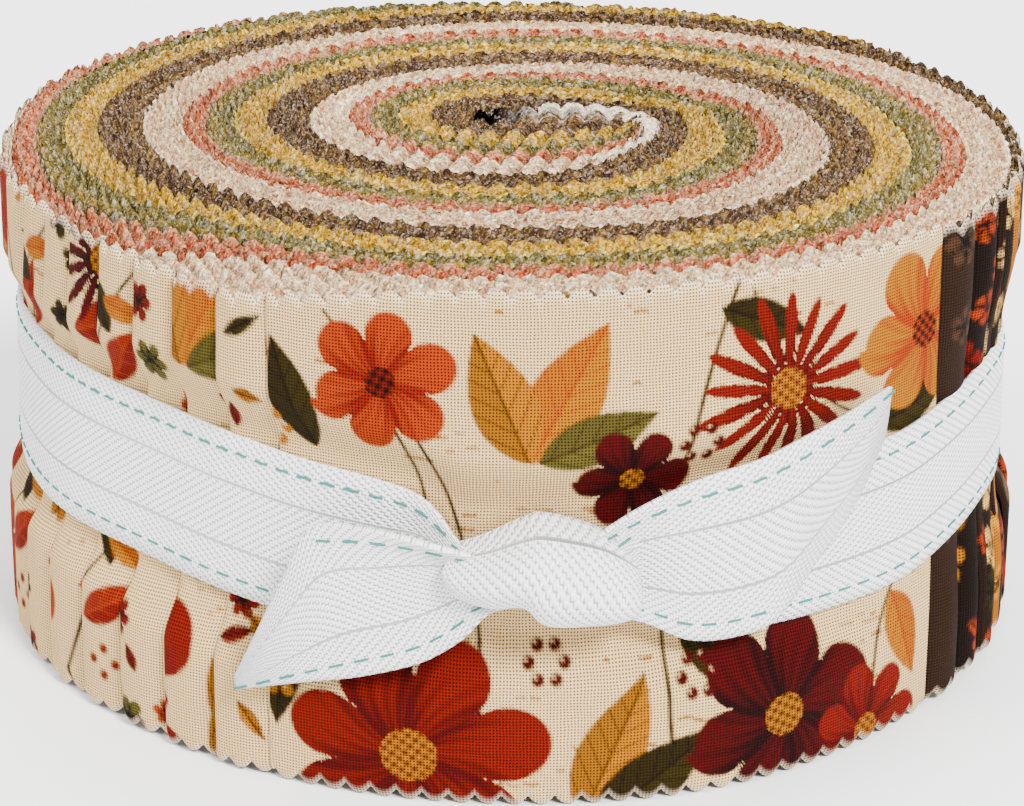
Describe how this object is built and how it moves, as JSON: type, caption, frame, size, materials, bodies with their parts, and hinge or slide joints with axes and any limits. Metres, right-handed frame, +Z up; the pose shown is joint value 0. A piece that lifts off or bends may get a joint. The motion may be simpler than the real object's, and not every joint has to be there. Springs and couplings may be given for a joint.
{
  "type": "fabric strip roll",
  "caption": "Roll of narrow pinked cotton quilting strips wound in a spiral, standing on end, with a cotton tape tied round its waist in a knot with two cut tails.",
  "frame": {"origin": "middle of the flat lower end that the roll stands on", "axes": "+Z up along the roll's winding axis, from the end it stands on to the end that shows; the knot faces -Y; the stack winds outward clockwise seen from above"},
  "size_m": [0.1322, 0.141, 0.0635],
  "materials": {
    "strip_cotton": "matte",
    "tie_tape": "matte"
  },
  "bodies": {
    "root": {"strip_roll": "strip_cotton", "tie_tape": "tie_tape"}
  },
  "joints": []
}
